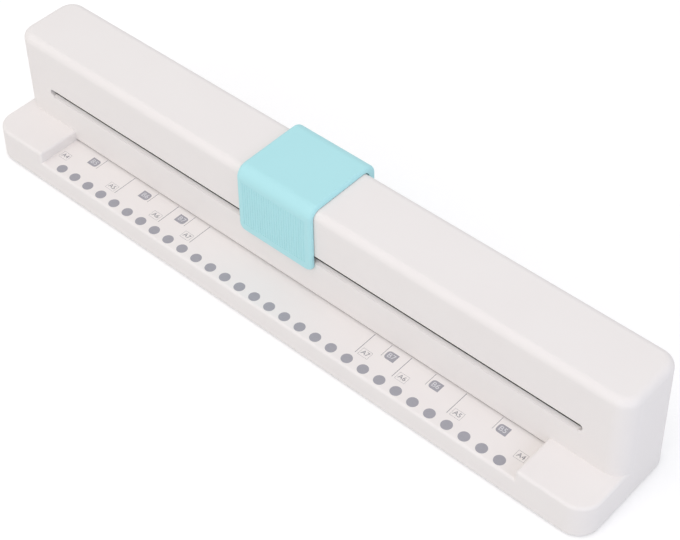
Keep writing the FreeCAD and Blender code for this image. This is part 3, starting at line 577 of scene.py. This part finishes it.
def feet():
    """Round rubber feet: a soft edge below and a shallow hollow, so that the rim carries."""
    bm = bmesh.new()
    turn_profile(bm, [(0, FOOT_HOLLOW), (3.4, FOOT_HOLLOW), (3.8, 0.1), (4.1, 0), (5.3, 0), (5.8, 0.2),
                      (FOOT_RADIUS, 0.6), (FOOT_RADIUS, FOOT_HEIGHT), (0, FOOT_HEIGHT)], 48)
    repeat_at(bm, [(x, y, 0) for x, y in FEET])
    millimetres(bm)
    piece = new_piece(bm, "rubber_feet_moulded", RUBBER)
    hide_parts("rubber_feet")


def finger_ribs():
    """Fine ribs under the front edge of the chip door, for a fingernail."""
    bm = bmesh.new()
    block = Matrix.Diagonal((RIB_LENGTH, RIB_WIDTH, RIB_HEIGHT, 1))
    for row in range(RIB_COUNT):
        place = Matrix.Translation((0, FIRST_RIB + RIB_SPACING * row, RIB_LEVEL))
        bmesh.ops.create_cube(bm, size=1, matrix=place @ block)
    bmesh.ops.bevel(bm, geom=bm.edges[:], offset=RIB_BEVEL, offset_type="OFFSET", affect="EDGES",
                    segments=2, profile=0.5, material=-1)
    millimetres(bm)
    piece = new_piece(bm, "door_finger_ribs", PLATE_ABS, "chip_door", 60.0)


screw_set("bottom_cross_screws", "bottom_screws", [(BOTTOM_KIND, BOTTOM_SCREWS)])
screw_set("frame_cross_screws", "frame_screws",
          [(CHANNEL_KIND, CHANNEL_SCREWS), (BRACKET_KIND, BRACKET_SCREWS)])
screw_set("rail_cross_screws", "rail_screws", [(RAIL_KIND, RAIL_SCREWS)])
feet()
finger_ribs()


# Materials of the model's own nodes

FINISHES = {
    SHELL_ABS: ["body_shell"],
    PLATE_ABS: ["bottom_plate", "chip_door"],
    GRIP_ABS: ["grip"],
    RUBBER: ["rubber_feet", "buffer_left", "buffer_right"],
    SCREW_ZINC: ["bottom_screws", "frame_screws", "rail_screws", "door_hinge_pins"],
    SHEET_ZINC: ["die_plate", "paper_stop", "guide_channel", "upper_rail", "end_bracket_left",
                 "end_bracket_right", "carriage_side_front", "carriage_side_rear"],
    SPRING_WIRE: ["return_springs"],
    ROLLER_STEEL: ["press_roller", "press_roller_axle", "rail_wheel_left", "rail_wheel_right",
                   "rail_wheel_axles", "spacer_rivets"],
    PIN_STEEL: ["punch_pin_%02d" % number for number in range(1, PIN_COUNT + 1)],
}
for finish, names in FINISHES.items():
    for node_name in names:
        NODES[node_name].data.materials.clear()
        NODES[node_name].data.materials.append(finish)


# Floor and light, in metres

TABLE_HALF = 6.0
TABLE_COLOUR = "#E0E0E0"
TABLE_LIFT = 0.32
WORLD_COLOUR = "#FBFDFF"
WORLD_LEVEL = 0.733
LAMP_AIM = Vector((0, 0, 0.03))

# Each lamp's name, place, width, height, power and colour
LAMPS = (
    ("overhead_panel", (-0.15, -0.35, 1.3), 1.4, 1.0, 4.8, "#FFF2EE"),
    ("front_panel", (-0.2, -1.3, 0.7), 1.4, 0.7, 3.75, "#FFF7F1"),
    ("right_panel", (1.3, -0.2, 0.6), 0.8, 0.8, 3.5, "#E3E7FF"),
)


def make_floor():
    """A wide pale table. To the camera and in reflections it is lifted to white; the shadow stays."""
    bm = bmesh.new()
    bmesh.ops.create_grid(bm, x_segments=1, y_segments=1, size=TABLE_HALF)
    mesh = bpy.data.meshes.new("table")
    bm.to_mesh(mesh)
    bm.free()
    table = bpy.data.objects.new("table", mesh)
    bpy.context.scene.collection.objects.link(table)
    material, tree = new_material("pale_table", TABLE_COLOUR)
    paper = add(tree, "ShaderNodeBsdfDiffuse", {"Color": linear(TABLE_COLOUR)}, {})
    seen = add(tree, "ShaderNodeLightPath", {}, {})
    either = add(tree, "ShaderNodeMath", {"operation": "MAXIMUM"},
                 {0: seen.outputs["Is Camera Ray"], 1: seen.outputs["Is Glossy Ray"]})
    lifted = add(tree, "ShaderNodeMath", {"operation": "MAXIMUM"},
                 {0: either.outputs[0], 1: seen.outputs["Is Transmission Ray"]})
    strength = add(tree, "ShaderNodeMath", {"operation": "MULTIPLY", 1: TABLE_LIFT}, {0: lifted.outputs[0]})
    glow = add(tree, "ShaderNodeEmission", {}, {"Strength": strength.outputs[0]})
    both = add(tree, "ShaderNodeAddShader", {}, {0: paper.outputs[0], 1: glow.outputs[0]})
    add(tree, "ShaderNodeOutputMaterial", {}, {"Surface": both.outputs[0]})
    mesh.materials.append(material)


def make_world():
    """An even pale surround, which the camera sees as plain white."""
    world = bpy.data.worlds.new("studio")
    world.use_nodes = True
    tree = world.node_tree
    tree.nodes.clear()
    seen = add(tree, "ShaderNodeLightPath", {}, {})
    either = add(tree, "ShaderNodeMath", {"operation": "MAXIMUM"},
                 {0: seen.outputs["Is Camera Ray"], 1: seen.outputs["Is Transmission Ray"]})
    strength = add(tree, "ShaderNodeMapRange", {"To Min": WORLD_LEVEL, "To Max": 1.0},
                   {"Value": either.outputs[0]})
    tint = add(tree, "ShaderNodeMix", {"data_type": "RGBA", 6: linear(WORLD_COLOUR), 7: (1, 1, 1, 1)},
               {0: either.outputs[0]})
    sky = add(tree, "ShaderNodeBackground", {}, {"Color": tint.outputs[2], "Strength": strength.outputs[0]})
    add(tree, "ShaderNodeOutputWorld", {}, {"Surface": sky.outputs[0]})
    bpy.context.scene.world = world


def soft_lamp(name, place, width, height, power, colour):
    """A large soft panel that faces the middle of the punch."""
    data = bpy.data.lights.new(name, "AREA")
    data.shape = "RECTANGLE"
    data.size = width
    data.size_y = height
    data.energy = power
    data.color = linear(colour)[:3]
    lamp = bpy.data.objects.new(name, data)
    lamp.location = place
    lamp.rotation_mode = "QUATERNION"
    lamp.rotation_quaternion = (LAMP_AIM - Vector(place)).to_track_quat("-Z", "Y")
    bpy.context.scene.collection.objects.link(lamp)


make_floor()
make_world()
for lamp_facts in LAMPS:
    soft_lamp(*lamp_facts)
bpy.context.scene.view_settings.view_transform = "Standard"
